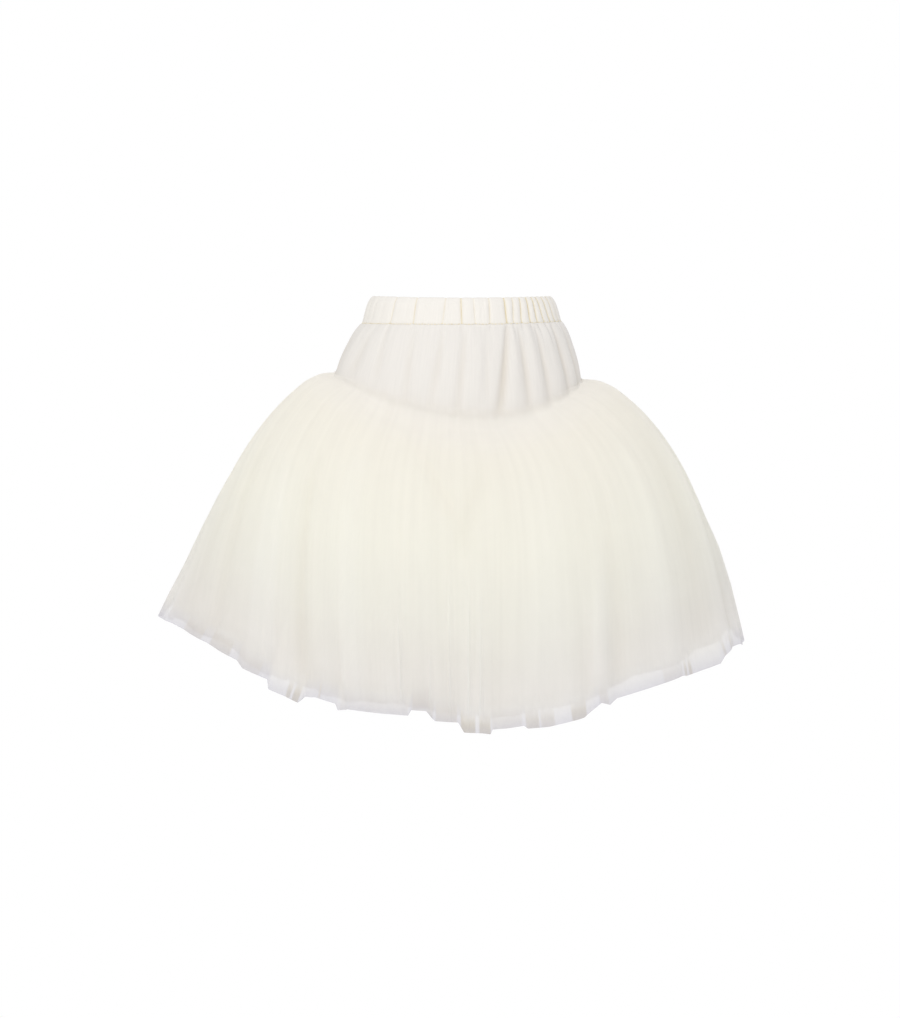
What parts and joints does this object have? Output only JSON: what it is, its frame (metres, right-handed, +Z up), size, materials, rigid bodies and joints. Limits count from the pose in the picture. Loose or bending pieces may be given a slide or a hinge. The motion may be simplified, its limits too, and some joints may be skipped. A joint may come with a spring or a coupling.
{
  "type": "tulle skirt",
  "caption": "Short full tulle skirt with a gathered elastic waistband, a plain hip yoke and layered net that domes out to a raw uneven hem, filled out as if worn.",
  "frame": {"origin": "centre of the waist, halfway up the waistband, where the wearer holds the skirt", "axes": "+Z up out of the waist, -Y to the front of the skirt, +X to the right of someone who looks at the front"},
  "size_m": [0.7955, 0.668, 0.4984],
  "materials": {
    "cotton": "matt ivory plain-weave cotton",
    "tulle": "matt ivory tulle, a fine stiff net that lets light through"
  },
  "bodies": {
    "root": {"waistband": "cotton", "yoke_front": "cotton", "yoke_back": "cotton", "tulle_outer_front": "tulle", "tulle_outer_back": "tulle", "tulle_middle_front": "tulle", "tulle_middle_back": "tulle", "tulle_inner_front": "tulle", "tulle_inner_back": "tulle"}
  },
  "joints": []
}
